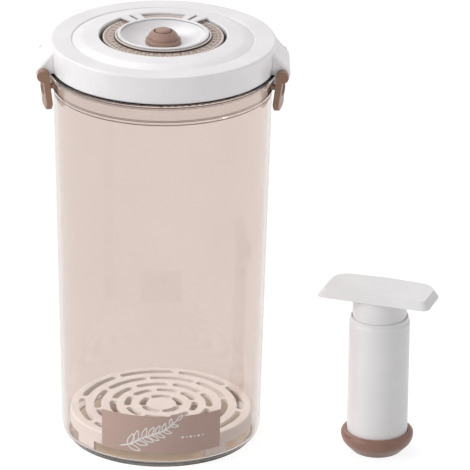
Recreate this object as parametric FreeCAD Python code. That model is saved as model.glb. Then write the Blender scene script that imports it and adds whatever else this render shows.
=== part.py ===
import FreeCAD, Part
import math
import os

# Vacuum seal canister with its hand pump, in millimetres.
# The origin is the centre of the canister's flat base, +Z is up and the
# latches lie on the X axis. The front of the canister faces -Y.

# Clear body
body_height = 239.0
shoulder_radius = 65.0
wall_taper = 4.9
band_proud = 0.7
flange_width = 1.7
body_wall = 2.4
floor_thickness = 3.0
base_corner = 6.9
floor_corner = 3.0
neck_height = 4.0
neck_thickness = 1.4
flange_thickness = 2.8
band_height = 8.2
band_step = 2.2

# Fits
seat_gap = 0.3
run_gap = 0.3
film_gap = 0.06
seal_gap = 0.2
glue_gap = 0.05
pin_gap = 0.06
neck_gap = 0.5
plate_gap = 1.7
tray_gap = 2.5
ear_gap = 0.4
dial_side_gap = 2.0
sleeve_gap = 0.8
piston_gap = 0.15
piston_rest_gap = 0.8

# Edges, and the overlap where parts of one moulding run into each other
hair_edge = 0.1
fine_edge = 0.2
plain_edge = 0.4
soft_edge = 0.8
blend = 0.5
cut_over = 1.0

# Label on the front
label_thickness = 0.25
label_half_angle = 35.5
label_bottom = 10.4
label_height = 24.2

# Drain tray
tray_height = 13.2
tray_plate = 2.2
tray_skirt = 8.0
tray_wall = 1.8
tray_edge = 1.2
tray_feet = 4
tray_foot_turn = 36.0
tray_foot_half_angle = 8.0
slot_width = 4.2
slots_per_ring = 8
slot_ring_shares = (0.87, 0.70, 0.53, 0.37)
slot_bridges = (3.3, 1.9, 2.9, 2.6)
slot_turns = (56.5, 34.5, 56.5, 34.5)
middle_slots = 5
middle_ring_share = 0.20
middle_bridge = 1.0

# Lid cover
lid_height = 16.9
lid_wall = 1.7
lid_draft = 0.8
lid_shoulder = 1.5
ring_width = 13.1
ring_groove = 0.6
crown_rise = 2.4
crown_break_share = 0.34
crown_break_level = 0.6
crown_round = 7.0
recess_depth = 3.4
recess_chamfer = 0.6
shelf_thickness = 2.0
shelf_shoulder = 2.0
weld_rib_thickness = 1.6

# Inner plate and gasket
plate_thickness = 1.8
plate_below_neck = 2.4
plate_flange = 1.6
plate_port_radius = 8.0
gasket_height = 2.6
gasket_round = 0.6

# Dish in the lid
dish_radius = 27.1
dish_wall = 1.6
rim_width = 1.9
dish_depth = 5.0
dish_slope_angle = 41.6
dish_round = 19.0
dish_back_round = 6.0
dish_back_step = 2.4
dish_flange_width = 3.9
dish_flange = 1.6
spigot_radius = 14.0
vent_radius = 1.2
vent_circle = 6.8
vent_count = 4
ring_section = 1.5

# Dial and its retainer
dial_width = 8.4
dial_thickness = 1.9
collar_width = 1.3
collar_height = 1.0
retainer_height = 1.0
lug_height = 0.85
lug_angles = (23.5, 35.8)
lug_span_angle = 8.2

# Silicone valve
valve_flange_radius = 10.5
valve_flange = 2.5
valve_dome_radius = 8.9
valve_dome_wall = 2.0
valve_dome_round = 3.0
valve_crown_radius = 6.3
valve_height = 8.3
valve_knob_radius = 4.8
valve_knob = 1.2
valve_knob_round = 1.8
valve_groove = 0.7
valve_stem_radius = 2.4
valve_lift = 2.5
barb_width = 1.4
barb_height = 2.0

# Latches
pivot_out = 3.0
pivot_above_flange = 0.9
pin_radius = 1.25
pin_cover = 1.2
knuckle_radius = 4.8
ear_half_width = 17.6
ear_top_drop = 4.7
ear_lift = 0.7
ear_edge = 2.0
head_width = 5.5
latch_head_radius = 3.6
head_edge = 0.6
latch_gap = 3.2
latch_thickness = 3.7
latch_belly_share = 0.76
latch_belly_taper = 0.4
latch_belly_round = 9.0
latch_lean = 1.9
latch_foot_taper = 0.3
latch_foot_round = 1.3
latch_window = 13.0
latch_window_corner = 3.0
latch_length = 22.1
latch_corner = 6.0
latch_arm_width = 3.2
latch_sector_angle = 60.0
nose_width = 2.4
nose_height = 2.5
nose_drop = 1.2

# Pump
pump_distance = 55.0
pump_y = -28.0
cylinder_radius = 18.25
cylinder_wall = 1.25
cylinder_length = 81.9
cylinder_edge = 1.5
guide_wall = 0.9
guide_height = 2.2
rim_slope = 1.1
lip_height = 3.5
cup_wall = 3.55
cup_height = 13.5
cup_floor = 5.3
cup_belly = 7.3
cup_belly_round = 9.0
cup_lip_round = 2.6
cup_taper = 7.0
cup_foot_rim = 2.6
cup_foot_round = 1.5
cup_ledge = 1.0
inlet_recess = 2.7
inlet_plate_thickness = 3.0
inlet_dome_radius = 8.0
inlet_dome = 1.4
inlet_dome_round = 3.0
inlet_stem_radius = 1.6
inlet_bulb_width = 0.9
inlet_bulb_height = 1.5
inlet_hole_radius = 1.3
inlet_hole_circle = 5.0
inlet_hole_count = 6
piston_height = 7.8
piston_groove = 1.4
groove_shares = (0.35, 0.70)
piston_plug = 6.0
sleeve_wall = 1.8
handle_gap = 13.9
handle_thickness = 4.2
handle_length = 62.7
handle_overhang = 1.6
handle_bulge = 2.4
handle_bulge_round = 80.0
handle_flare = 4.5
handle_end_flare = 3.4
handle_back_flare = 0.8
handle_front_corner = 3.0
handle_back_corner = 9.5
handle_foot_round = 1.5
handle_socket = 6.0
handle_socket_wall = 2.0
handle_turn = -19.2

# Levels and radii that follow from the sizes above
base_radius = shoulder_radius - wall_taper
band_radius = shoulder_radius + band_proud
flange_radius = band_radius + flange_width
mouth_radius = shoulder_radius - body_wall
neck_radius = mouth_radius + neck_thickness
flange_top = body_height - neck_height
flange_under = flange_top - flange_thickness
band_bottom = flange_under - band_height
shoulder_level = band_bottom - band_step
tray_foot_level = floor_thickness + seat_gap
tray_top = tray_foot_level + tray_height
skirt_inner = neck_radius + neck_gap
lid_foot_radius = skirt_inner + lid_wall
lid_top_radius = lid_foot_radius + lid_draft
ring_inner_radius = lid_top_radius - ring_width
dial_inner = dish_radius + run_gap
dial_outer = dial_inner + dial_width
recess_radius = dial_outer + dial_side_gap
lid_foot = flange_top + seat_gap
lid_ring_top = lid_foot + lid_height
lid_crown = lid_ring_top + crown_rise
lid_under = lid_ring_top - lid_wall - ring_groove
shelf_top = lid_crown - recess_depth
shelf_under = shelf_top - shelf_thickness
plate_radius = mouth_radius - plate_gap
plate_bottom = body_height - plate_below_neck
plate_top = plate_bottom + plate_thickness
gasket_bottom = body_height + seal_gap
gasket_top = gasket_bottom + gasket_height
plate_flange_top = gasket_top + plate_flange
dish_rim = lid_crown
dish_floor = dish_rim - dish_depth
dish_under = dish_floor - dish_wall
dial_bottom = shelf_top + run_gap
dial_face = dial_bottom + dial_thickness
valve_bottom = dish_floor + seal_gap / 2
pivot_x = flange_radius + pivot_out
pivot_z = flange_top + pivot_above_flange
latch_half_width = ear_half_width + ear_gap + head_width
latch_inner_radius = flange_radius + latch_gap
latch_foot = pivot_z - latch_length
nose_top = flange_under - nose_drop
cylinder_bore = cylinder_radius - cylinder_wall
cylinder_top = cup_floor + cylinder_length
cup_radius = cylinder_radius + cup_wall
cup_foot_radius = cup_radius - cup_taper
sleeve_radius = cylinder_bore - sleeve_gap
sleeve_inner = sleeve_radius - sleeve_wall
inlet_plate_bottom = cup_floor + inlet_recess
inlet_plate_top = inlet_plate_bottom + inlet_plate_thickness
piston_bottom = inlet_plate_top + inlet_dome + piston_rest_gap
piston_top = piston_bottom + piston_height
handle_bottom = cylinder_top + handle_gap
pump_x = pivot_x + knuckle_radius + pump_distance

V = FreeCAD.Vector
UP = V(0, 0, 1)
ORIGIN = V(0, 0, 0)


def closed_wire(corners, place):
    """Closed outline through (a, b, fillet) corners, set in space by place."""
    count = len(corners)
    reach = []
    turn = []
    for i in range(count):
        x, y, fillet = corners[i]
        ax, ay = corners[i - 1][0] - x, corners[i - 1][1] - y
        bx, by = corners[(i + 1) % count][0] - x, corners[(i + 1) % count][1] - y
        cosine = (ax * bx + ay * by) / (math.hypot(ax, ay) * math.hypot(bx, by))
        angle = math.acos(max(-1.0, min(1.0, cosine)))
        turn.append(angle)
        flat = fillet <= 0 or angle > math.pi - 0.001
        reach.append(0.0 if flat else fillet / math.tan(angle / 2))
    limit = list(reach)
    for i in range(count):
        j = (i + 1) % count
        length = math.hypot(corners[j][0] - corners[i][0], corners[j][1] - corners[i][1])
        if reach[i] + reach[j] > 0.98 * length:
            share = 0.98 * length / (reach[i] + reach[j])
            limit[i] = min(limit[i], reach[i] * share)
            limit[j] = min(limit[j], reach[j] * share)
    spans = []
    for i in range(count):
        x, y = corners[i][:2]
        if limit[i] <= 0:
            spans.append(((x, y), (x, y), None))
            continue
        ax, ay = corners[i - 1][0] - x, corners[i - 1][1] - y
        bx, by = corners[(i + 1) % count][0] - x, corners[(i + 1) % count][1] - y
        la, lb = math.hypot(ax, ay), math.hypot(bx, by)
        mx, my = ax / la + bx / lb, ay / la + by / lb
        lm = math.hypot(mx, my)
        radius = limit[i] * math.tan(turn[i] / 2)
        away = radius / math.sin(turn[i] / 2) - radius
        start = (x + ax / la * limit[i], y + ay / la * limit[i])
        end = (x + bx / lb * limit[i], y + by / lb * limit[i])
        spans.append((start, end, (x + mx / lm * away, y + my / lm * away)))
    edges = []
    for i in range(count):
        start, end, middle = spans[i]
        following = spans[(i + 1) % count][0]
        if middle:
            edges.append(Part.Arc(place(start), place(middle), place(end)).toShape())
        if math.hypot(following[0] - end[0], following[1] - end[1]) > 0.000001:
            edges.append(Part.makeLine(place(end), place(following)))
    return Part.Wire(Part.__sortEdges__(edges))


def turned(corners, angle=360.0, start=0.0):
    """Solid of revolution about Z from (radius, height, fillet) corners."""
    face = Part.Face(closed_wire(corners, lambda p: V(p[0], 0, p[1])))
    solid = face.revolve(ORIGIN, UP, angle)
    if start:
        solid.rotate(ORIGIN, UP, start)
    return solid


def ring(inner, outer, bottom, top, fillet=0.0, angle=360.0, start=0.0):
    """Plain ring or ring sector."""
    corners = [(inner, bottom, fillet), (outer, bottom, fillet), (outer, top, fillet), (inner, top, fillet)]
    return turned(corners, angle, start)


def rod(radius, bottom, top, x=0.0, y=0.0):
    """Upright cylinder."""
    return Part.makeCylinder(radius, top - bottom, V(x, y, bottom), UP)


def cross_rod(radius, half_length):
    """Cylinder along Y about the right latch pivot."""
    return Part.makeCylinder(radius, 2 * half_length, V(pivot_x, -half_length, pivot_z), V(0, 1, 0))


def around(radius, angle):
    """Point at an angle on a circle about Z."""
    return radius * math.cos(math.radians(angle)), radius * math.sin(math.radians(angle))


def mirrored(solid):
    """Copy on the other side of the canister."""
    return solid.mirror(ORIGIN, V(1, 0, 0))


def cut_all(solid, tools):
    """Solid with every tool taken away."""
    return solid.cut(Part.makeCompound(tools))


def join(first, others):
    """One solid from touching pieces."""
    return first.multiFuse(others).removeSplitter()


def body_radius(level):
    """Outside radius of the tapered wall."""
    share = (level - base_corner) / (shoulder_level - base_corner)
    return base_radius + (shoulder_radius - base_radius) * share


pieces = {}

# Clear body: tapered tumbler with a flat base, a plain band, the flange that
# the latches grip and a thin neck that enters the lid.
floor_radius = body_radius(floor_thickness) - body_wall
pieces["canister_body"] = turned([
    (0, 0, 0),
    (body_radius(0), 0, base_corner),
    (shoulder_radius, shoulder_level, 0),
    (band_radius, band_bottom, plain_edge),
    (band_radius, flange_under, fine_edge),
    (flange_radius, flange_under, plain_edge),
    (flange_radius, flange_top, soft_edge),
    (neck_radius, flange_top, fine_edge),
    (neck_radius, body_height, plain_edge),
    (mouth_radius, body_height, plain_edge),
    (mouth_radius, shoulder_level, 0),
    (floor_radius, floor_thickness, floor_corner),
    (0, floor_thickness, 0),
])

# Front label: thin printed film on the tapered wall.
label_top = label_bottom + label_height
label_foot_radius = body_radius(label_bottom) + film_gap
label_head_radius = body_radius(label_top) + film_gap
pieces["front_label"] = turned([
    (label_foot_radius, label_bottom, 0),
    (label_foot_radius + label_thickness, label_bottom, 0),
    (label_head_radius + label_thickness, label_top, 0),
    (label_head_radius, label_top, 0),
], 2 * label_half_angle, -90 - label_half_angle)

# Drain tray: slotted plate with a skirt and feet, loose on the floor.
tray_radius = floor_radius - tray_gap
tray_under = tray_top - tray_plate
skirt_foot = tray_top - tray_skirt


def arc_slot(radius, middle, pitch, bridge):
    """Curved slot with round ends through the tray plate, a bridge short of its pitch."""
    half = slot_width / 2
    half_length = (pitch - math.degrees((bridge + slot_width) / radius)) / 2
    first, last = middle - half_length, middle + half_length
    low = tray_under - cut_over

    def spot(r, angle):
        x, y = around(r, angle)
        return V(x, y, low)

    def cap(angle, outward):
        x, y = around(radius, angle)
        tx, ty = around(half, angle + 90 * outward)
        return V(x + tx, y + ty, low)

    edges = [
        Part.Arc(spot(radius - half, first), spot(radius - half, middle), spot(radius - half, last)).toShape(),
        Part.Arc(spot(radius - half, last), cap(last, 1), spot(radius + half, last)).toShape(),
        Part.Arc(spot(radius + half, last), spot(radius + half, middle), spot(radius + half, first)).toShape(),
        Part.Arc(spot(radius + half, first), cap(first, -1), spot(radius - half, first)).toShape(),
    ]
    return Part.Face(Part.Wire(edges)).extrude(V(0, 0, tray_plate + 2 * cut_over))


tray = turned([
    (0, tray_under, 0),
    (tray_radius - tray_wall, tray_under, plain_edge),
    (tray_radius - tray_wall, skirt_foot, plain_edge),
    (tray_radius, skirt_foot, plain_edge),
    (tray_radius, tray_top, tray_edge),
    (0, tray_top, 0),
])
slots = []
ring_pitch = 360.0 / slots_per_ring
for share, bridge, first in zip(slot_ring_shares, slot_bridges, slot_turns):
    for step in range(slots_per_ring):
        slots.append(arc_slot(share * tray_radius, first + ring_pitch * step, ring_pitch, bridge))
middle_pitch = 360.0 / middle_slots
for step in range(middle_slots):
    slots.append(arc_slot(middle_ring_share * tray_radius, 90 + middle_pitch * step, middle_pitch, middle_bridge))
tray = cut_all(tray, slots)
feet = []
for step in range(tray_feet):
    start = -90 + tray_foot_turn + 360.0 / tray_feet * step - tray_foot_half_angle
    feet.append(ring(tray_radius - tray_wall, tray_radius, tray_foot_level, skirt_foot + 2 * blend,
                     fine_edge, 2 * tray_foot_half_angle, start))
pieces["drain_tray"] = join(tray, feet)

# Lid cover: white shell with a flat outer ring, a low crown, the dial recess
# and one hinge ear over each latch.
crown_break = ring_inner_radius - crown_break_share * (ring_inner_radius - recess_radius)
cover = turned([
    (skirt_inner, lid_foot, plain_edge),
    (lid_foot_radius, lid_foot, soft_edge),
    (lid_top_radius, lid_ring_top, lid_shoulder),
    (ring_inner_radius + ring_groove, lid_ring_top, plain_edge),
    (ring_inner_radius, lid_ring_top - ring_groove, fine_edge),
    (crown_break, lid_ring_top + crown_break_level * crown_rise, crown_round),
    (recess_radius + recess_chamfer, lid_crown, fine_edge),
    (recess_radius, lid_crown - recess_chamfer, fine_edge),
    (recess_radius, shelf_top, fine_edge),
    (dish_radius + glue_gap, shelf_top, fine_edge),
    (dish_radius + glue_gap, shelf_under, 0),
    (recess_radius + shelf_shoulder, shelf_under, plain_edge),
    (ring_inner_radius, lid_under, shelf_shoulder),
    (lid_top_radius - lid_wall, lid_under, soft_edge),
])
weld_rib = ring(plate_radius, plate_radius + weld_rib_thickness, plate_flange_top + glue_gap, lid_under + blend)
ear_slope_z = lid_ring_top - ear_top_drop
dx, dz = lid_top_radius - pivot_x, ear_slope_z - pivot_z
lean = math.atan2(dz, dx) - math.acos(knuckle_radius / math.hypot(dx, dz))
tangent_x = pivot_x + knuckle_radius * math.cos(lean)
tangent_z = pivot_z + knuckle_radius * math.sin(lean)
root_x = math.sqrt(lid_foot_radius ** 2 - ear_half_width ** 2) - lid_wall
root_z = tangent_z + (ear_slope_z - tangent_z) * (root_x - tangent_x) / (lid_top_radius - tangent_x)
ear_wire = closed_wire([
    (root_x, lid_foot + ear_lift, 0),
    (pivot_x, pivot_z, 0),
    (tangent_x, tangent_z, 0),
    (root_x, root_z, 0),
], lambda p: V(p[0], -ear_half_width, p[1]))
ear = Part.Face(ear_wire).extrude(V(0, 2 * ear_half_width, 0))
ear = ear.fuse(cross_rod(knuckle_radius, ear_half_width)).removeSplitter()
ear_rims = [edge for edge in ear.Edges if abs(abs(edge.CenterOfMass.y) - ear_half_width) < hair_edge
            and edge.BoundBox.XMax > pivot_x + hair_edge]
ear = ear.makeFillet(ear_edge, ear_rims)
ear = ear.cut(rod(lid_foot_radius - fine_edge, flange_under - cut_over, lid_crown + cut_over))
ear = ear.cut(rod(flange_radius + run_gap, flange_under - cut_over, lid_foot))
bore = cross_rod(pin_radius + glue_gap / 2, latch_half_width)
cover = join(cover, [weld_rib, ear, mirrored(ear)])
pieces["lid_cover"] = cut_all(cover, [bore, mirrored(bore)])

# Inner plate: closes the lid from below and backs the gasket.
pieces["lid_plate"] = turned([
    (plate_port_radius, plate_bottom, fine_edge),
    (plate_radius, plate_bottom, soft_edge),
    (plate_radius, gasket_top, fine_edge),
    (skirt_inner - run_gap, gasket_top, fine_edge),
    (skirt_inner - run_gap, plate_flange_top, plain_edge),
    (plate_radius - plate_thickness, plate_flange_top, plain_edge),
    (plate_radius - plate_thickness, plate_top, plain_edge),
    (plate_port_radius, plate_top, fine_edge),
])

# Gasket: soft ring that the neck presses against the inner plate.
pieces["lid_gasket"] = ring(plate_radius + glue_gap, skirt_inner - run_gap,
                            gasket_bottom, gasket_top - glue_gap, gasket_round)

# Valve dish: shallow bowl with vent holes, held under the shelf by its flange
# and led down to the inner plate by a spigot.
seal_top = plate_top + glue_gap + ring_section
bowl_edge = dish_radius - rim_width
bowl_break = bowl_edge - dish_depth / math.tan(math.radians(dish_slope_angle))
stem_hole = valve_stem_radius + run_gap
flange_level = shelf_under - glue_gap
dish = turned([
    (stem_hole, dish_floor, fine_edge),
    (bowl_break, dish_floor, dish_round),
    (bowl_edge, dish_rim, fine_edge),
    (dish_radius, dish_rim, fine_edge),
    (dish_radius, flange_level, 0),
    (dish_radius + dish_flange_width, flange_level, fine_edge),
    (dish_radius + dish_flange_width, flange_level - dish_flange, fine_edge),
    (dish_radius - dish_wall, flange_level - dish_flange, fine_edge),
    (dish_radius - dish_wall, flange_level + dish_back_step, soft_edge),
    (bowl_break + blend, dish_under, dish_back_round),
    (spigot_radius, dish_under, plain_edge),
    (spigot_radius, seal_top + glue_gap, fine_edge),
    (spigot_radius - dish_wall, seal_top + glue_gap, fine_edge),
    (spigot_radius - dish_wall, dish_under, plain_edge),
    (stem_hole, dish_under, fine_edge),
])
vents = []
for step in range(vent_count):
    x, y = around(vent_circle, 360.0 / vent_count * (step + 0.5))
    vents.append(rod(vent_radius, dish_under - cut_over, dish_floor + cut_over, x, y))
pieces["valve_dish"] = cut_all(dish, vents)

# Vent seal: soft ring between the spigot and the inner plate.
pieces["vent_seal"] = Part.makeTorus(spigot_radius - dish_wall / 2, ring_section / 2,
                                     V(0, 0, plate_top + glue_gap + ring_section / 2), UP)

# Dial retainer: rim bead of the dish with two pairs of lugs over the dial.
bead_top = dish_rim + glue_gap + retainer_height
lugs = []
for begin in lug_angles:
    for start in (90 + begin, 90 - begin - lug_span_angle):
        lugs.append(ring(dish_radius - soft_edge, recess_radius - run_gap, bead_top - lug_height, bead_top,
                         fine_edge, lug_span_angle, start))
bead = ring(bowl_edge, dish_radius, dish_rim + glue_gap, bead_top, plain_edge)
pieces["dial_retainer"] = join(bead, lugs)

# Date dial: rose ring with a low inner collar, free to turn on the shelf.
pieces["date_dial"] = turned([
    (dial_inner, dial_bottom, hair_edge),
    (dial_outer, dial_bottom, fine_edge),
    (dial_outer, dial_face, fine_edge),
    (dial_inner + collar_width, dial_face, fine_edge),
    (dial_inner + collar_width, dial_face + collar_height, fine_edge),
    (dial_inner, dial_face + collar_height, fine_edge),
])

# Release valve: stepped silicone dome on a flange that covers the vent holes,
# with a stem and a barb that keeps it in the dish.
valve_step = valve_bottom + valve_flange
valve_top = valve_bottom + valve_height
crown_top = valve_top - valve_knob
groove_floor = crown_top - valve_groove
barb_top = dish_under - valve_lift - blend
pieces["release_valve"] = turned([
    (0, barb_top - barb_height, 0),
    (valve_stem_radius, barb_top - barb_height, plain_edge),
    (valve_stem_radius + barb_width, barb_top, plain_edge),
    (valve_stem_radius, barb_top, fine_edge),
    (valve_stem_radius, valve_bottom, fine_edge),
    (valve_flange_radius, valve_bottom, plain_edge),
    (valve_flange_radius, valve_step, soft_edge),
    (valve_dome_radius, valve_step, plain_edge),
    (valve_dome_radius, valve_step + valve_dome_wall, valve_dome_round),
    (valve_crown_radius, crown_top, soft_edge),
    (valve_knob_radius + valve_groove, crown_top, fine_edge),
    (valve_knob_radius + valve_groove, groove_floor, fine_edge),
    (valve_knob_radius, groove_floor, fine_edge),
    (valve_knob_radius, valve_top, valve_knob_round),
    (0, valve_top, 0),
])

# Latches: curved rose levers, each a plate between two arms that hang from the
# ear. A nose on each arm goes under the flange when the plate is pressed in.
outer = latch_inner_radius + latch_thickness
belly_z = pivot_z - latch_belly_share * latch_length
inner_belly = latch_inner_radius - latch_lean
outer_belly = outer - latch_lean - latch_belly_taper
tail = turned([
    (latch_inner_radius, pivot_z, 0),
    (inner_belly, belly_z, latch_belly_round),
    (inner_belly + latch_foot_taper, latch_foot, latch_foot_round),
    (outer_belly - latch_foot_taper, latch_foot, latch_foot_round),
    (outer_belly, belly_z, latch_belly_round),
    (outer, pivot_z, 0),
], latch_sector_angle, -latch_sector_angle / 2)


def latch_view(half_width, bottom, top, corner):
    """Block seen along X as a plate with round lower corners."""
    wire = closed_wire([
        (-half_width, top, 0),
        (-half_width, bottom, corner),
        (half_width, bottom, corner),
        (half_width, top, 0),
    ], lambda p: V(0, p[0], p[1]))
    return Part.Face(wire).extrude(V(2 * outer, 0, 0))


slot_half = ear_half_width + ear_gap
window_half = latch_half_width - latch_arm_width
tail = tail.common(latch_view(latch_half_width, latch_foot, pivot_z, latch_corner))
tail = tail.cut(latch_view(window_half, pivot_z - latch_window, pivot_z + cut_over, latch_window_corner))
nose_ring = ring(flange_radius + run_gap, latch_inner_radius + cut_over, nose_top - nose_height, nose_top,
                 angle=latch_sector_angle, start=-latch_sector_angle / 2)
noses = []
for begin in (window_half, -window_half - nose_width):
    block = Part.makeBox(2 * outer, nose_width, 2 * nose_height, V(0, begin, nose_top - 1.5 * nose_height))
    noses.append(nose_ring.common(block))
heads = []
for side in (-1, 1):
    base = V(pivot_x, side * slot_half, pivot_z)
    head = Part.makeCylinder(latch_head_radius, head_width, base, V(0, side, 0))
    rims = [edge for edge in head.Edges if edge.Curve.TypeId == "Part::GeomCircle"
            and abs(abs(edge.CenterOfMass.y) - latch_half_width) < hair_edge]
    heads.append(head.makeFillet(head_edge, rims))
latch = join(tail, noses + heads)
latch = latch.cut(cross_rod(pin_radius + pin_gap, latch_half_width - pin_cover))
pieces["right_latch"] = latch
pieces["left_latch"] = mirrored(latch)

# Latch pins: steel rods through ear and lever, blind at both ends.
pin = cross_rod(pin_radius, latch_half_width - pin_cover - run_gap)
pieces["right_latch_pin"] = pin
pieces["left_latch_pin"] = mirrored(pin)

# Pump cylinder: white tube with a sloped rim and, inside it, the low ring that guides
# the sleeve.
lip_radius = sleeve_radius + run_gap
lip_bottom = cylinder_top - lip_height
guide_radius = lip_radius + guide_wall
rim_top = cylinder_top - guide_height
pump = {}
pump["pump_cylinder"] = turned([
    (cylinder_bore, cup_floor, fine_edge),
    (cylinder_radius, cup_floor, fine_edge),
    (cylinder_radius, rim_top - rim_slope, cylinder_edge),
    (guide_radius, rim_top, hair_edge),
    (guide_radius, cylinder_top, fine_edge),
    (lip_radius, cylinder_top, fine_edge),
    (lip_radius, lip_bottom, fine_edge),
    (cylinder_bore, lip_bottom, hair_edge),
])

# Inlet plate: closes the cylinder at the bottom, with air holes.
inlet = ring(inlet_stem_radius + glue_gap, cylinder_bore - glue_gap, inlet_plate_bottom, inlet_plate_top, fine_edge)
holes = []
for step in range(inlet_hole_count):
    x, y = around(inlet_hole_circle, 360.0 / inlet_hole_count * step)
    holes.append(rod(inlet_hole_radius, inlet_plate_bottom - cut_over, inlet_plate_top + cut_over, x, y))
pump["inlet_plate"] = cut_all(inlet, holes)

# Inlet valve: silicone umbrella over the air holes.
bulb_top = inlet_plate_bottom - glue_gap
umbrella_foot = inlet_plate_top + glue_gap
pump["inlet_valve"] = turned([
    (0, bulb_top - inlet_bulb_height, 0),
    (inlet_stem_radius, bulb_top - inlet_bulb_height, plain_edge),
    (inlet_stem_radius + inlet_bulb_width, bulb_top, fine_edge),
    (inlet_stem_radius, bulb_top, 0),
    (inlet_stem_radius, umbrella_foot, 0),
    (inlet_dome_radius, umbrella_foot, 0),
    (inlet_dome_radius, umbrella_foot + plain_edge, fine_edge),
    (inlet_dome_radius - inlet_dome_round, inlet_plate_top + inlet_dome, inlet_dome_round),
    (0, inlet_plate_top + inlet_dome, 0),
])

# Seat cup: rose silicone bowl under the cylinder that seals on the lid dish.
pump["seat_cup"] = turned([
    (cup_foot_radius - cup_foot_rim, 0, plain_edge),
    (cup_foot_radius, 0, cup_foot_round),
    (cup_radius, cup_belly, cup_belly_round),
    (cup_radius, cup_height, cup_lip_round),
    (cylinder_radius + glue_gap, cup_height, soft_edge),
    (cylinder_radius + glue_gap, cup_floor - glue_gap, 0),
    (cylinder_bore - cup_ledge, cup_floor - glue_gap, fine_edge),
])

# Plunger sleeve: white tube that slides through the lip.
pump["plunger_sleeve"] = ring(sleeve_inner, sleeve_radius, piston_top, handle_bottom - glue_gap, fine_edge)

# Piston head: plugged into the sleeve, with a groove for the seal.
piston_radius = cylinder_bore - piston_gap
groove_radius = piston_radius - piston_groove
groove_bottom, groove_top = [piston_bottom + share * piston_height for share in groove_shares]
pump["piston_head"] = turned([
    (0, piston_bottom, 0),
    (piston_radius, piston_bottom, fine_edge),
    (piston_radius, groove_bottom, hair_edge),
    (groove_radius, groove_bottom, hair_edge),
    (groove_radius, groove_top, hair_edge),
    (piston_radius, groove_top, hair_edge),
    (piston_radius, piston_top - glue_gap, hair_edge),
    (sleeve_inner - glue_gap, piston_top - glue_gap, hair_edge),
    (sleeve_inner - glue_gap, piston_top + piston_plug, plain_edge),
    (0, piston_top + piston_plug, 0),
])

# Piston seal: soft ring in the groove.
pump["piston_seal"] = ring(groove_radius + glue_gap, cylinder_bore - piston_gap / 2,
                           groove_bottom + glue_gap, groove_top - glue_gap, plain_edge)

# Pump handle: bevelled paddle with a straight front edge and a bowed back,
# plugged into the top of the sleeve.
half_depth = sleeve_radius + handle_overhang - handle_flare


def handle_wire(level, end_flare, front_flare, back_flare, rounding):
    """Outline of the paddle at one level, larger by the flares."""
    side = handle_length / 2 + end_flare
    front = -half_depth - front_flare
    back = half_depth + back_flare
    return closed_wire([
        (-side, front, handle_front_corner + rounding),
        (side, front, handle_front_corner + rounding),
        (side, back, handle_back_corner + rounding),
        (0, back + handle_bulge, handle_bulge_round),
        (-side, back, handle_back_corner + rounding),
    ], lambda p: V(p[0], p[1], level))


paddle = Part.makeLoft([
    handle_wire(handle_bottom, handle_end_flare, handle_flare, handle_back_flare, handle_foot_round),
    handle_wire(handle_bottom + handle_thickness, 0.0, 0.0, 0.0, 0.0),
], True, True)
socket = ring(sleeve_inner - handle_socket_wall, sleeve_inner - glue_gap,
              handle_bottom - handle_socket, handle_bottom + blend, fine_edge)
handle = join(paddle, [socket])
handle.rotate(ORIGIN, UP, handle_turn)
pump["pump_handle"] = handle

for name, solid in pump.items():
    solid.translate(V(pump_x, pump_y, 0))
    pieces[name] = solid

os.makedirs("parts", exist_ok=True)
for name, solid in pieces.items():
    if solid.ShapeType != "Solid" and len(solid.Solids) == 1:
        solid = solid.Solids[0]
    solid.exportStep("parts/" + name + ".step")
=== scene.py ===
import math

import bmesh
import bpy
from mathutils import Matrix, Vector


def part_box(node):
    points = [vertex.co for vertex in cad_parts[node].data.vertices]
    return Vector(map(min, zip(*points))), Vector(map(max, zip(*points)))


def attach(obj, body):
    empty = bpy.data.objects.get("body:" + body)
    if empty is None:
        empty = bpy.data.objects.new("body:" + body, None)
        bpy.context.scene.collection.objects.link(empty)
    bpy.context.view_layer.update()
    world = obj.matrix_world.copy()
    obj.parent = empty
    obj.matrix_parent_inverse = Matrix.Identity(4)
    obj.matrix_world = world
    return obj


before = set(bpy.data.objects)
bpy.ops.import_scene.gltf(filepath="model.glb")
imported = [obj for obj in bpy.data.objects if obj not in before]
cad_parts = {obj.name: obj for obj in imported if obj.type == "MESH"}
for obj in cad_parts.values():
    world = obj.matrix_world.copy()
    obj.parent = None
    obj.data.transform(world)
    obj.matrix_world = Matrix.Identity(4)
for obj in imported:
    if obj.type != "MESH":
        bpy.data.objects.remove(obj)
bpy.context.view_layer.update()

# Clear body
# Tapered tumbler with its flange and neck, injection moulded in one piece from
# champagne-tinted clear plastic. The mould is polished, so the wall is smooth.
MM = 0.001
flange_top = 235.0 * MM
flange_thickness = 2.8 * MM
band_height = 8.2 * MM
shoulder_drop = 2.2 * MM
flange_under = flange_top - flange_thickness
band_bottom = flange_under - band_height
shoulder_level = band_bottom - shoulder_drop
band_middle = (flange_under + band_bottom) / 2
edge_inset = 0.1 * MM

# Each mark is a level on the body and how far it reaches up and down from there.
# A darker band between the flange and the shoulder.
band_face = ((band_middle, flange_under - band_middle),)
# Near-black lines at the flange's top and underside: painted shadow under the lid and painted dark edges.
flange_lines = ((flange_top - edge_inset, 0.35 * MM), (flange_under + edge_inset, 0.4 * MM))
# Dark lines at the band's steps: painted dark edges where the clear steps show dark.
band_lines = ((band_bottom, 0.35 * MM), (shoulder_level, 0.3 * MM))
# The base's floor face: partly the thick base's own tint, partly painted shade under the canister.
base_face = ((0.0, 0.15 * MM),)
darkened_levels = (
    (band_face, (0.74, 0.675, 0.64)),
    (flange_lines, (0.03, 0.02, 0.016)),
    (band_lines, (0.16, 0.115, 0.10)),
    (base_face, (0.60, 0.42, 0.24)),
)


def new_material(name):
    """New node material, with its tree and its main shader."""
    material = bpy.data.materials.new(name)
    material.use_nodes = True
    tree = material.node_tree
    return material, tree, tree.nodes["Principled BSDF"]


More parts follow.
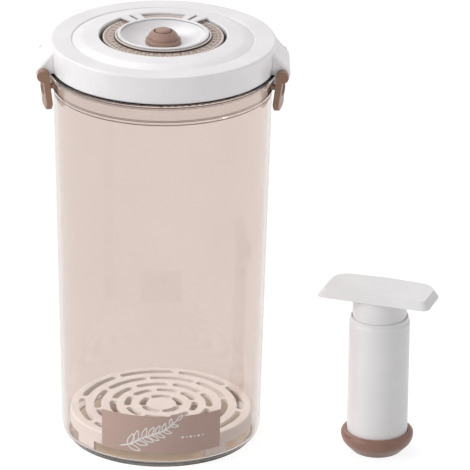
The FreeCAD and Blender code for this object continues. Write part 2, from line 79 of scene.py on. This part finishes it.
def surface_noise(tree, feature_size, detail=3.0):
    """Noise in the object's own space, with features of about the given size."""
    place = tree.nodes.new("ShaderNodeTexCoord")
    noise = tree.nodes.new("ShaderNodeTexNoise")
    noise.inputs["Scale"].default_value = 1.0 / feature_size
    noise.inputs["Detail"].default_value = detail
    tree.links.new(place.outputs["Object"], noise.inputs["Vector"])
    return noise.outputs["Fac"]


# Most of a noise lies between these two values.
noise_low = 0.3
noise_high = 0.7


def shade_between(tree, noise, first, second, socket):
    """Leads a colour between two shades, mixed by a noise, into a socket."""
    ramp = tree.nodes.new("ShaderNodeValToRGB")
    ramp.color_ramp.elements[0].position = noise_low
    ramp.color_ramp.elements[0].color = (*first, 1.0)
    ramp.color_ramp.elements[1].position = noise_high
    ramp.color_ramp.elements[1].color = (*second, 1.0)
    tree.links.new(noise, ramp.inputs["Fac"])
    tree.links.new(ramp.outputs["Color"], socket)


def range_between(tree, noise, low, high, socket):
    """Leads a number between two limits, mixed by a noise, into a socket."""
    span = tree.nodes.new("ShaderNodeMapRange")
    span.inputs["From Min"].default_value = noise_low
    span.inputs["From Max"].default_value = noise_high
    span.inputs["To Min"].default_value = low
    span.inputs["To Max"].default_value = high
    tree.links.new(noise, span.inputs["Value"])
    tree.links.new(span.outputs["Result"], socket)


def dress(material, *nodes):
    """Puts a material on CAD nodes."""
    for node in nodes:
        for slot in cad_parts[node].material_slots:
            slot.material = material


def level_marks(tree, marks):
    """One where the height in the object's own space is within reach of a mark's level."""
    place = tree.nodes.new("ShaderNodeTexCoord")
    split = tree.nodes.new("ShaderNodeSeparateXYZ")
    tree.links.new(place.outputs["Object"], split.inputs["Vector"])
    total = None
    for level, reach in marks:
        near = tree.nodes.new("ShaderNodeMath")
        near.operation = "COMPARE"
        near.inputs[1].default_value = level
        near.inputs[2].default_value = reach
        tree.links.new(split.outputs["Z"], near.inputs[0])
        if total:
            either = tree.nodes.new("ShaderNodeMath")
            either.operation = "MAXIMUM"
            tree.links.new(total, either.inputs[0])
            tree.links.new(near.outputs["Value"], either.inputs[1])
            near = either
        total = near.outputs["Value"]
    return total


def stained(tree, marked, shade, socket):
    """Lays a shade over the colour that already leads into a socket, where marked is one."""
    plain = socket.links[0].from_socket
    mix = tree.nodes.new("ShaderNodeMix")
    mix.data_type = "RGBA"
    colours = [entry for entry in mix.inputs if entry.type == "RGBA"]
    colours[1].default_value = (*shade, 1.0)
    tree.links.new(marked, mix.inputs["Factor"])
    tree.links.new(plain, colours[0])
    tree.links.new([entry for entry in mix.outputs if entry.type == "RGBA"][0], socket)


def champagne_clear():
    """Tinted clear plastic, darker where it is thick, with painted shadow and dark edges at the flange,
    band and base.
    """
    pale = (0.835, 0.776, 0.742)
    deep = (0.815, 0.756, 0.722)
    flow_size = 60 * MM
    material, tree, shader = new_material("champagne_clear")
    flow = surface_noise(tree, flow_size, detail=2.0)
    shade_between(tree, flow, pale, deep, shader.inputs["Base Color"])
    # Lays the darker levels over the tint: painted shadow and dark edges at flange and band, painted shade
    # at the base.
    for marks, shade in darkened_levels:
        stained(tree, level_marks(tree, marks), shade, shader.inputs["Base Color"])
    range_between(tree, flow, low=0.01, high=0.03, socket=shader.inputs["Roughness"])
    shader.inputs["Transmission Weight"].default_value = 1.0
    shader.inputs["IOR"].default_value = 1.5
    tint = tree.nodes.new("ShaderNodeVolumeAbsorption")
    tint.inputs["Color"].default_value = (0.66, 0.47, 0.38, 1.0)
    tint.inputs["Density"].default_value = 40.0
    out = tree.nodes["Material Output"]
    tree.links.new(tint.outputs["Volume"], out.inputs["Volume"])
    path = tree.nodes.new("ShaderNodeLightPath")
    lamp_light = tree.nodes.new("ShaderNodeBsdfTransparent")
    lamp_light.inputs["Color"].default_value = (0.985, 0.975, 0.97, 1.0)
    clear = tree.nodes.new("ShaderNodeMixShader")
    tree.links.new(path.outputs["Is Shadow Ray"], clear.inputs["Fac"])
    tree.links.new(shader.outputs["BSDF"], clear.inputs[1])
    tree.links.new(lamp_light.outputs["BSDF"], clear.inputs[2])
    tree.links.new(clear.outputs["Shader"], out.inputs["Surface"])
    return material


dress(champagne_clear(), "canister_body")

# Front label
# Rose-brown printed film, die cut to a rectangle and stuck round the front of
# the wall. It carries a plain leaf sprig and a row of dots in white ink.
label_low, label_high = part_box("front_label")
label_height = label_high.z - label_low.z
level_match = 0.1 * MM
ink_rise = 0.06 * MM
ink_sink = 0.02 * MM


def rim_radius(node, level):
    """Largest distance from the canister's axis of a node's points at one level."""
    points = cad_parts[node].data.vertices
    return max(math.hypot(p.co.x, p.co.y) for p in points if abs(p.co.z - level) < level_match)


label_foot_radius = rim_radius("front_label", label_low.z)
label_head_radius = rim_radius("front_label", label_high.z)


def on_label(across, up, lift):
    """Point on the label, across from its middle and up from its foot."""
    radius = label_foot_radius + (label_head_radius - label_foot_radius) * up / label_height + lift
    angle = across / label_foot_radius
    return Vector((radius * math.sin(angle), -radius * math.cos(angle), label_low.z + up))


def smooth_path(points, closed=False, steps=10):
    """Smooth line through given points, in the label's plane."""
    count = len(points)
    path = []
    for i in range(count if closed else count - 1):
        near = range(i - 1, i + 3)
        if not closed:
            near = [max(0, min(count - 1, k)) for k in near]
        a, b, c, d = [Vector(points[k % count]) for k in near]
        for step in range(steps):
            t = step / steps
            bend = 2 * b + (c - a) * t
            bend += (2 * a - 5 * b + 4 * c - d) * t * t
            bend += (3 * b - a - 3 * c + d) * t ** 3
            path.append(bend / 2)
    if not closed:
        path.append(Vector(points[-1]))
    return path


# An open line starts at this share of its width and swells to the whole of it.
line_start = 0.35
line_swell = 6.0


def ink_line(mesh, path, width, closed=False):
    """Adds one flat printed line of the given width to a mesh."""
    count = len(path)
    rows = []
    for i in range(count):
        before = path[i - 1] if closed or i else path[0]
        after = path[(i + 1) % count] if closed or i < count - 1 else path[-1]
        along = (after - before).normalized()
        side = Vector((-along.y, along.x)) * width / 2
        if not closed:
            side *= min(1.0, line_start + line_swell * min(i, count - 1 - i) / count)
        row = []
        for edge, lift in ((side, ink_rise), (-side, ink_rise), (-side, -ink_sink), (side, -ink_sink)):
            row.append(mesh.verts.new(on_label(*(path[i] + edge), lift)))
        rows.append(row)
    for i in range(count if closed else count - 1):
        first, second = rows[i], rows[(i + 1) % count]
        for k in range(4):
            mesh.faces.new((first[k], first[(k + 1) % 4], second[(k + 1) % 4], second[k]))
    if not closed:
        mesh.faces.new(rows[0])
        mesh.faces.new(rows[-1][::-1])


# A leaf's outline, as shares of its length and of half its width.
leaf_shape = ((0.0, 0.0), (0.28, 0.85), (0.58, 0.9), (1.0, 0.0), (0.58, -0.9), (0.28, -0.85))


def leaf(root, heading, length, width):
    """Closed outline of one leaf that starts at its root."""
    along = Vector((math.cos(heading), math.sin(heading)))
    side = Vector((-along.y, along.x))
    half = width / 2
    points = [root + along * length * a + side * half * b for a, b in leaf_shape]
    return smooth_path(points, closed=True, steps=6)


def mesh_piece(name, mesh, material):
    """New object from a finished mesh."""
    bmesh.ops.recalc_face_normals(mesh, faces=mesh.faces)
    data = bpy.data.meshes.new(name)
    mesh.to_mesh(data)
    mesh.free()
    data.materials.append(material)
    piece = bpy.data.objects.new(name, data)
    bpy.context.scene.collection.objects.link(piece)
    return piece


def relief(tree, noise, depth, strength, shader):
    """Raises the surface by a noise, over the given depth."""
    bump = tree.nodes.new("ShaderNodeBump")
    bump.inputs["Distance"].default_value = depth
    bump.inputs["Strength"].default_value = strength
    tree.links.new(noise, bump.inputs["Height"])
    tree.links.new(bump.outputs["Normal"], shader.inputs["Normal"])


def rose_film():
    """Matte printed film with a faint fleck in its ink."""
    deep = (0.48, 0.335, 0.285)
    pale = (0.52, 0.37, 0.315)
    fleck_size = 0.7 * MM
    material, tree, shader = new_material("rose_film")
    fleck = surface_noise(tree, fleck_size, detail=4.0)
    shade_between(tree, fleck, deep, pale, shader.inputs["Base Color"])
    range_between(tree, fleck, low=0.45, high=0.58, socket=shader.inputs["Roughness"])
    relief(tree, fleck, depth=0.02 * MM, strength=0.3, shader=shader)
    return material


def print_ink(name, deep, pale):
    """Opaque screen ink, slightly uneven in cover."""
    patch_size = 0.4 * MM
    material, tree, shader = new_material(name)
    cover = surface_noise(tree, patch_size)
    shade_between(tree, cover, deep, pale, shader.inputs["Base Color"])
    range_between(tree, cover, low=0.40, high=0.55, socket=shader.inputs["Roughness"])
    return material


dress(rose_film(), "front_label")
white_ink = print_ink("white_ink", deep=(0.80, 0.77, 0.75), pale=(0.88, 0.86, 0.84))

# The stem's points are in millimetres, across from the label's middle and up from its foot. Pairs of
# leaves grow on a share of the stem, each pair a little shorter than the one before, in millimetres too.
stem_points = [(-25.5, 3.0), (-18.5, 5.2), (-11.0, 9.8), (-4.5, 12.4), (2.5, 15.6), (9.5, 21.6)]
stem_width = 1.0 * MM
leaf_line = 0.62 * MM
leaf_count = 7
leaf_turn = math.radians(44.0)
first_leaf = 0.16
leafy_share = 0.74
longest_leaf = 8.2
shorter_by = 0.55
leaf_slimness = 0.36
tip_length = 4.6 * MM
tip_width = 1.8 * MM
sprig = bmesh.new()
stem = smooth_path([Vector(p) * MM for p in stem_points])
ink_line(sprig, stem, stem_width)
for i in range(leaf_count):
    joint = int((first_leaf + leafy_share * i / (leaf_count - 1)) * (len(stem) - 1))
    along = stem[joint + 1] - stem[joint]
    heading = math.atan2(along.y, along.x)
    length = (longest_leaf - shorter_by * i) * MM
    for side in (-1, 1):
        outline = leaf(stem[joint], heading + side * leaf_turn, length, leaf_slimness * length)
        ink_line(sprig, outline, leaf_line, closed=True)
ink_line(sprig, leaf(stem[-1], heading, tip_length, tip_width), leaf_line, closed=True)
label_sprig = mesh_piece("label_sprig", sprig, white_ink)
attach(label_sprig, "canister")

dot_count = 6
dot_pitch = 2.5 * MM
dot_start = 13.0 * MM
dot_level = 10.2 * MM
large_dot = 1.7 * MM
small_dot = 1.1 * MM
dots = bmesh.new()
for i in range(dot_count):
    centre = Vector((dot_start + i * dot_pitch, dot_level))
    size = small_dot if i % 2 else large_dot
    half = Vector((size / 2, 0))
    ink_line(dots, [centre - half, centre, centre + half], size)
label_dots = mesh_piece("label_dots", dots, white_ink)
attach(label_dots, "canister")

# Drain tray
# Slotted disc with a short skirt and four feet, moulded in white plastic. It
# lies loose on the floor of the body and keeps the food out of the drained liquid.

# How open to the light a deep groove and a free face are.
groove_light = 0.35
face_light = 0.80


def hollow_shade(tree, shader, reach=3 * MM, depth=0.45, alone=True):
    """Paints shade into a colour in grooves and corners, from the piece alone or also from its neighbours.
    """
    socket = shader.inputs["Base Color"]
    hollow = tree.nodes.new("ShaderNodeAmbientOcclusion")
    hollow.samples = 8
    hollow.only_local = alone
    hollow.inputs["Distance"].default_value = reach
    span = tree.nodes.new("ShaderNodeMapRange")
    span.inputs["From Min"].default_value = groove_light
    span.inputs["From Max"].default_value = face_light
    span.inputs["To Min"].default_value = depth
    span.inputs["To Max"].default_value = 1.0
    tree.links.new(hollow.outputs["AO"], span.inputs["Value"])
    shaded = tree.nodes.new("ShaderNodeVectorMath")
    shaded.operation = "SCALE"
    tree.links.new(socket.links[0].from_socket, shaded.inputs["Vector"])
    tree.links.new(span.outputs["Result"], shaded.inputs["Scale"])
    tree.links.new(shaded.outputs["Vector"], socket)


def moulded_plastic(name, shade, roughness, cloud_size=25 * MM, hollow_reach=3 * MM, alone=True):
    """Opaque moulded plastic: cloudy pigment, fine mould grain, uneven gloss, painted shade in hollows."""
    dark_cloud = 0.965
    pale_cloud = 1.02
    palest = 0.95
    grain_size = 0.35 * MM
    material, tree, shader = new_material(name)
    cloud = surface_noise(tree, cloud_size)
    darker = tuple(dark_cloud * channel for channel in shade)
    lighter = tuple(min(palest, pale_cloud * channel) for channel in shade)
    shade_between(tree, cloud, darker, lighter, shader.inputs["Base Color"])
    smoothest = roughness - 0.04
    roughest = roughness + 0.05
    range_between(tree, cloud, smoothest, roughest, shader.inputs["Roughness"])
    grain = surface_noise(tree, grain_size, detail=2.0)
    relief(tree, grain, depth=0.02 * MM, strength=0.25, shader=shader)
    # Painted shade in grooves and corners.
    hollow_shade(tree, shader, hollow_reach, alone=alone)
    return material


dress(moulded_plastic("tray_white", shade=(0.95, 0.945, 0.935), roughness=0.42), "drain_tray")

# Lid inner plate
# White moulded plate that closes the lid from below. It is welded to a rib in the
# cover and its flange backs the gasket.
lid_white = moulded_plastic("lid_white", shade=(0.875, 0.855, 0.865), roughness=0.34)
dress(lid_white, "lid_plate")

# Soft seals of the lid
# Rose silicone gasket, on which the neck presses, and a small pale ring that seals
# the dish to the inner plate. Both are pressed into their seats.


def silicone(name, shade, roughness):
    """Matte silicone with a dusty surface, fine mould texture and painted shade in its hollows."""
    dark_dust = 0.92
    pale_dust = 1.06
    dust_size = 6 * MM
    grain_size = 0.5 * MM
    material, tree, shader = new_material(name)
    dust = surface_noise(tree, dust_size, detail=5.0)
    darker = tuple(dark_dust * channel for channel in shade)
    lighter = tuple(pale_dust * channel for channel in shade)
    shade_between(tree, dust, darker, lighter, shader.inputs["Base Color"])
    smoothest = roughness - 0.05
    roughest = roughness + 0.07
    range_between(tree, dust, smoothest, roughest, shader.inputs["Roughness"])
    relief(tree, surface_noise(tree, grain_size), depth=0.03 * MM, strength=0.3, shader=shader)
    # Painted shade in grooves and corners.
    hollow_shade(tree, shader, depth=0.3)
    return material


pale_seal = silicone("pale_seal", shade=(0.74, 0.72, 0.71), roughness=0.6)
dress(pale_seal, "vent_seal")
dress(silicone("gasket_rose", shade=(0.36, 0.225, 0.175), roughness=0.55), "lid_gasket")

# Lid cover
# White shell with a flat ring, a low crown, the round recess of the dial and a
# hinge ear on each side. It is one glossy moulding.
dress(lid_white, "lid_cover")

# Valve dish
# Shallow white bowl in the middle of the lid, where the pump is set down. It is
# moulded apart and held under the cover's shelf by its flange.
# Its painted hollow shade also takes in its neighbours, as thin dark lines where they meet.
dish_white = moulded_plastic("dish_white", shade=(0.84, 0.825, 0.84), roughness=0.30,
                             cloud_size=18 * MM, hollow_reach=1.2 * MM, alone=False)
dress(dish_white, "valve_dish")

# Dial gap shade
# Thin near-black ring on the shelf of the recess, under the dial's edge. It is no real part: it
# paints the shade in the gap round the dial, which shows as a dark line round the dial.
shelf_top = 251.2 * MM
gap_shade_thickness = 0.2 * MM
gap_shade_inner = 33.0 * MM
gap_shade_outer = 37.6 * MM


def add_ring(mesh, inner, outer, bottom, top, steps=240):
    """Adds a ring about the canister's axis to a mesh."""
    corners = ((inner, bottom), (outer, bottom), (outer, top), (inner, top))
    rows = []
    for step in range(steps):
        angle = 2 * math.pi * step / steps
        rows.append([mesh.verts.new((r * math.cos(angle), r * math.sin(angle), z)) for r, z in corners])
    for near, far in zip(rows, rows[1:] + rows[:1]):
        for k in range(4):
            mesh.faces.new((near[k], near[(k + 1) % 4], far[(k + 1) % 4], far[k]))


def dark_felt():
    """Near-black dull sheet that paints the shade in the dial's gap, with a fine speckle."""
    deep = (0.018, 0.014, 0.013)
    pale = (0.035, 0.028, 0.026)
    speck_size = 0.25 * MM
    material, tree, shader = new_material("dark_felt")
    speck = surface_noise(tree, speck_size, detail=6.0)
    shade_between(tree, speck, deep, pale, shader.inputs["Base Color"])
    range_between(tree, speck, low=0.85, high=0.95, socket=shader.inputs["Roughness"])
    return material


gap_shade_ring = bmesh.new()
add_ring(gap_shade_ring, gap_shade_inner, gap_shade_outer, shelf_top, shelf_top + gap_shade_thickness)
dial_gap_shade = mesh_piece("dial_gap_shade", gap_shade_ring, dark_felt())
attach(dial_gap_shade, "lid")

# Date dial
# Rose ring that turns round the dish and marks the day of filling. It is moulded, then printed with
# the days 1 to 31 and ticks. Dark rings paint the shade round the collar, and cream rings paint
# highlights on the dial's outer edge and the collar's top.
# Its painted hollow shade also takes in its neighbours.
dial_rose = moulded_plastic("dial_rose", shade=(0.50, 0.395, 0.345), roughness=0.38,
                            cloud_size=12 * MM, hollow_reach=1.2 * MM, alone=False)
dress(dial_rose, "date_dial")
dial_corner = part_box("date_dial")[1]
dial_top = dial_corner.z
dial_outer = dial_corner.x
collar_height = 1.0 * MM
collar_width = 1.3 * MM
collar_inner = 27.4 * MM
collar_outer = collar_inner + collar_width
dial_face = dial_top - collar_height
# Dark ink for the days and ticks; the same dark paints the shade round the collar.
dark_ink_and_shade = print_ink("dark_ink_and_shade", deep=(0.030, 0.018, 0.014), pale=(0.055, 0.034, 0.027))
# Cream that paints highlights on the dial's outer edge and the collar's top.
cream_highlight = print_ink("cream_highlight", deep=(0.78, 0.71, 0.63), pale=(0.85, 0.79, 0.72))
print_rise = 0.05 * MM

# Height of a figure as a share of the type's size.
figure_share = 0.7


def on_dial(angle, radius):
    """Turns a mark that is drawn at the origin, top inwards, to its place on the dial."""
    turn = Matrix.Rotation(angle + math.pi / 2, 4, "Z")
    return Matrix.Translation((radius * math.cos(angle), radius * math.sin(angle), dial_face)) @ turn


def add_number(mesh, number, height, place):
    """Adds a printed number to a mesh."""
    text = bpy.data.curves.new("number", "FONT")
    text.body = str(number)
    text.size = height / figure_share
    text.align_x = "CENTER"
    text.align_y = "CENTER"
    text.extrude = print_rise
    holder = bpy.data.objects.new("number", text)
    flat = bpy.data.meshes.new_from_object(holder)
    flat.transform(place)
    mesh.from_mesh(flat)
    bpy.data.meshes.remove(flat)
    bpy.data.objects.remove(holder)
    bpy.data.curves.remove(text)


def add_block(mesh, width, length, place):
    """Adds a flat printed bar to a mesh."""
    size = Matrix.Diagonal((width, length, 2 * print_rise, 1.0))
    bmesh.ops.create_cube(mesh, size=1.0, matrix=place @ size)


day_count = 31
print_start = math.radians(136.0)
print_end = math.radians(404.0)
day_pitch = (print_end - print_start) / (day_count - 1)
number_height = 2.4 * MM
number_radius = 31.0 * MM
weld_reach = 0.001 * MM
ticks_per_day = 2
tick_radius = dial_outer - 2.1 * MM
day_tick = (0.6 * MM, 1.6 * MM)
half_tick = (0.5 * MM, 1.0 * MM)
collar_shade_width = 0.6 * MM
collar_shade_top = dial_top - 0.25 * MM
ink_and_shade = bmesh.new()
for day in range(1, day_count + 1):
    add_number(ink_and_shade, day, number_height, on_dial(print_start + day_pitch * (day - 1), number_radius))
bmesh.ops.remove_doubles(ink_and_shade, verts=ink_and_shade.verts, dist=weld_reach)
for step in range(ticks_per_day * (day_count - 1) + 1):
    width, length = half_tick if step % ticks_per_day else day_tick
    add_block(ink_and_shade, width, length, on_dial(print_start + day_pitch * step / ticks_per_day, tick_radius))
# Two dark rings paint the shade at the collar's foot and on its wall.
add_ring(ink_and_shade, collar_outer, collar_outer + collar_shade_width, dial_face - print_rise, dial_face + print_rise)
add_ring(ink_and_shade, collar_outer - print_rise, collar_outer + print_rise, dial_face, collar_shade_top)
dial_ink_and_shade = mesh_piece("dial_ink_and_shade", ink_and_shade, dark_ink_and_shade)
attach(dial_ink_and_shade, "dial")

# Cream rings paint highlights on the dial's outer edge and along the collar's top.
rim_highlight_inner = dial_outer - 0.8 * MM
rim_highlight_outer = dial_outer - 0.25 * MM
collar_margin = 0.3 * MM
edge_highlights = bmesh.new()
for inner, outer, level in ((rim_highlight_inner, rim_highlight_outer, dial_face),
                            (collar_inner + collar_margin, collar_outer - collar_margin, dial_top)):
    add_ring(edge_highlights, inner, outer, level - print_rise, level + print_rise)
dial_highlights = mesh_piece("dial_highlights", edge_highlights, cream_highlight)
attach(dial_highlights, "dial")

# Dial retainer
# White rim bead of the dish with two pairs of lugs that reach over the dial and
# keep it down. It is glued to the rim.
dress(dish_white, "dial_retainer")

# Release valve
# Stepped silicone dome with a small knob, pulled through the floor of the dish by
# its barb. Lifting it lets the air back in.
dress(silicone("valve_rose", shade=(0.36, 0.225, 0.175), roughness=0.48), "release_valve")

# Latches and their pins
# Rose moulded levers that swing on drawn steel pins in the ears of the lid. Their
# noses catch under the flange of the body.


def drawn_steel():
    """Steel wire with fine lines along the draw, which runs along Y."""
    deep = (0.52, 0.52, 0.53)
    pale = (0.66, 0.66, 0.67)
    line_size = 0.15 * MM
    line_stretch = 0.02
    material, tree, shader = new_material("drawn_steel")
    place = tree.nodes.new("ShaderNodeTexCoord")
    stretch = tree.nodes.new("ShaderNodeMapping")
    stretch.inputs["Scale"].default_value = (1.0, line_stretch, 1.0)
    lines = tree.nodes.new("ShaderNodeTexNoise")
    lines.inputs["Scale"].default_value = 1.0 / line_size
    tree.links.new(place.outputs["Object"], stretch.inputs["Vector"])
    tree.links.new(stretch.outputs["Vector"], lines.inputs["Vector"])
    shader.inputs["Metallic"].default_value = 1.0
    shade_between(tree, lines.outputs["Fac"], deep, pale, shader.inputs["Base Color"])
    range_between(tree, lines.outputs["Fac"], low=0.22, high=0.36, socket=shader.inputs["Roughness"])
    return material


lever_rose = moulded_plastic("lever_rose", shade=(0.29, 0.155, 0.10), roughness=0.36, cloud_size=14 * MM)
dress(drawn_steel(), "left_latch_pin", "right_latch_pin")
dress(lever_rose, "left_latch", "right_latch")

# Pump inlet
# White moulded plate that closes the cylinder at the bottom, and the pale silicone
# umbrella over its holes, which lets air in only upwards.
pump_white = moulded_plastic("pump_white", shade=(0.87, 0.865, 0.865), roughness=0.32, cloud_size=30 * MM)
dress(pump_white, "inlet_plate")
dress(pale_seal, "inlet_valve")

# Pump cylinder
# Plain white tube whose rim slopes in to a low ring, with a lip that guides the
# sleeve. It is moulded in one piece and polished.
dress(pump_white, "pump_cylinder")

# Seat cup
# Rose silicone bowl, stretched over the foot of the cylinder. Its rim seals on the
# dish of the lid.
dress(silicone("cup_rose", shade=(0.29, 0.155, 0.115), roughness=0.38), "seat_cup")

# Piston
# White moulded head, plugged into the sleeve, with a dark rubber ring in its groove.
# Both work inside the cylinder.
dress(pump_white, "piston_head")
dress(silicone("seal_dark", shade=(0.045, 0.042, 0.042), roughness=0.55), "piston_seal")

# Plunger sleeve and handle
# White tube that slides through the lip, with a bevelled paddle for the palm
# plugged into its top. Both are moulded in the cylinder's plastic.
dress(pump_white, "plunger_sleeve", "pump_handle")

# Floor and light
# Plain pale floor under the object, a white surround and soft lamps: a strong one on
# the left, one high behind and a weak one on the right. Two spots light the lid's
# right rim and the pump.
floor_size = 24.0
floor_drop = 0.3 * MM
# The floor's glow paints the canister's shadow: it fades down under the base, and a dark ring paints the
# contact shadow where the base stands.
shade_radius = 46.0 * MM
shade_fade = 10.0 * MM
contact_radius = 55.2 * MM
contact_reach = 0.95 * MM


def seen_white(tree):
    """One for the rays that show the background: straight, mirrored and through clear plastic."""
    path = tree.nodes.new("ShaderNodeLightPath")
    total = path.outputs["Is Camera Ray"]
    for kind in ("Is Glossy Ray", "Is Transmission Ray"):
        either = tree.nodes.new("ShaderNodeMath")
        either.operation = "MAXIMUM"
        tree.links.new(total, either.inputs[0])
        tree.links.new(path.outputs[kind], either.inputs[1])
        total = either.outputs["Value"]
    return total


def base_shade(tree, dark, bright, socket):
    """Leads a painted shadow into a socket: low under the canister, zero in its contact ring, high beside
    it.
    """
    place = tree.nodes.new("ShaderNodeTexCoord")
    away = tree.nodes.new("ShaderNodeVectorMath")
    away.operation = "LENGTH"
    span = tree.nodes.new("ShaderNodeMapRange")
    span.inputs["From Min"].default_value = shade_radius - shade_fade
    span.inputs["From Max"].default_value = shade_radius + shade_fade
    span.inputs["To Min"].default_value = dark
    span.inputs["To Max"].default_value = bright
    tree.links.new(place.outputs["Object"], away.inputs[0])
    tree.links.new(away.outputs["Value"], span.inputs["Value"])
    contact = tree.nodes.new("ShaderNodeMath")
    contact.operation = "COMPARE"
    contact.inputs[1].default_value = contact_radius
    contact.inputs[2].default_value = contact_reach
    tree.links.new(away.outputs["Value"], contact.inputs[0])
    less = tree.nodes.new("ShaderNodeMath")
    less.operation = "SUBTRACT"
    less.use_clamp = True
    tree.links.new(span.outputs["Result"], less.inputs[0])
    tree.links.new(contact.outputs["Value"], less.inputs[1])
    tree.links.new(less.outputs["Value"], socket)


def pale_floor():
    """White sweep that keeps a faint shadow, with a painted shadow under the canister in its glow."""
    material, tree, shader = new_material("pale_floor")
    tree.nodes.remove(shader)
    matte = tree.nodes.new("ShaderNodeBsdfDiffuse")
    matte.inputs["Color"].default_value = (0.80, 0.80, 0.80, 1.0)
    faint = tree.nodes.new("ShaderNodeBsdfDiffuse")
    faint.inputs["Color"].default_value = (0.26, 0.26, 0.26, 1.0)
    glow = tree.nodes.new("ShaderNodeEmission")
    base_shade(tree, dark=0.32, bright=0.86, socket=glow.inputs["Strength"])
    both = tree.nodes.new("ShaderNodeAddShader")
    tree.links.new(faint.outputs["BSDF"], both.inputs[0])
    tree.links.new(glow.outputs["Emission"], both.inputs[1])
    choose = tree.nodes.new("ShaderNodeMixShader")
    tree.links.new(seen_white(tree), choose.inputs["Fac"])
    tree.links.new(matte.outputs["BSDF"], choose.inputs[1])
    tree.links.new(both.outputs["Shader"], choose.inputs[2])
    tree.links.new(choose.outputs["Shader"], tree.nodes["Material Output"].inputs["Surface"])
    return material


sweep = bmesh.new()
bmesh.ops.create_grid(sweep, x_segments=1, y_segments=1, size=floor_size / 2)
floor = mesh_piece("floor", sweep, pale_floor())
floor.location.z = -floor_drop

world = bpy.data.worlds.new("studio")
world.use_nodes = True
bpy.context.scene.world = world
sky = world.node_tree
ambient = sky.nodes["Background"]
ambient.inputs["Color"].default_value = (1.0, 0.985, 1.0, 1.0)
ambient.inputs["Strength"].default_value = 0.45
white = sky.nodes.new("ShaderNodeBackground")
white.inputs["Strength"].default_value = 1.0
surround = sky.nodes.new("ShaderNodeMixShader")
sky.links.new(seen_white(sky), surround.inputs["Fac"])
sky.links.new(ambient.outputs["Background"], surround.inputs[1])
sky.links.new(white.outputs["Background"], surround.inputs[2])
sky.links.new(surround.outputs["Shader"], sky.nodes["World Output"].inputs["Surface"])

canister_middle = (0.0, 0.0, 0.15)
right_rim = (0.055, -0.035, 0.245)
pump_middle = (0.13, -0.028, 0.055)


def hang(light, place, aim, power):
    """Hangs a lamp so that it faces a point and isn't seen itself."""
    light.energy = power
    lamp = bpy.data.objects.new(light.name, light)
    lamp.location = place
    lamp.rotation_euler = (Vector(aim) - Vector(place)).to_track_quat("-Z", "Y").to_euler()
    lamp.visible_camera = False
    bpy.context.scene.collection.objects.link(lamp)


def soft_lamp(name, place, size, power):
    """Square softbox that faces the canister."""
    light = bpy.data.lights.new(name, "AREA")
    light.size = size
    hang(light, place, canister_middle, power)


def spot_lamp(name, place, aim, cone, power):
    """Soft spot with a narrow cone."""
    light = bpy.data.lights.new(name, "SPOT")
    light.spot_size = cone
    light.spot_blend = 0.5
    light.shadow_soft_size = 0.08
    hang(light, place, aim, power)


soft_lamp("left_softbox", place=(-1.6, -0.7, 1.05), size=1.2, power=20.0)
soft_lamp("high_softbox", place=(-0.5, 1.1, 1.75), size=1.0, power=14.0)
soft_lamp("right_softbox", place=(1.6, -0.2, 0.6), size=0.8, power=1.2)
spot_lamp("rim_spot", place=(1.0, -0.45, 0.30), aim=right_rim, cone=math.radians(13.0), power=8.0)
spot_lamp("pump_spot", place=(-0.98, -0.50, 0.30), aim=pump_middle, cone=math.radians(6.5), power=4.0)
bpy.context.scene.view_settings.view_transform = "Standard"

# Camera
# Long lens three metres in front of the canister, above it and looking down on it.
# Its place, tilt and focal length were fitted to the rims of the lid, body and tray.
camera_distance = 3.0
camera_height = 1.35925
camera_pitch = math.radians(22.3317)
camera_yaw = math.radians(0.8344)
camera_roll = math.radians(0.6397)
picture_width = 470
focal_pixels = 5414.64
sensor_width = 36.0
forward = Vector((math.sin(camera_yaw) * math.cos(camera_pitch),
                  math.cos(camera_yaw) * math.cos(camera_pitch),
                  -math.sin(camera_pitch)))
level = forward.cross(Vector((0, 0, 1))).normalized()
raised = level.cross(forward)
right = math.cos(camera_roll) * level + math.sin(camera_roll) * raised
up = math.cos(camera_roll) * raised - math.sin(camera_roll) * level
lens = bpy.data.cameras.new("camera")
lens.sensor_width = sensor_width
lens.lens = focal_pixels / picture_width * sensor_width
camera = bpy.data.objects.new("camera", lens)
camera.matrix_world = (Matrix.Translation((0.0, -camera_distance, camera_height))
                       @ Matrix((right, up, -forward)).transposed().to_4x4())
bpy.context.scene.collection.objects.link(camera)
bpy.context.scene.camera = camera
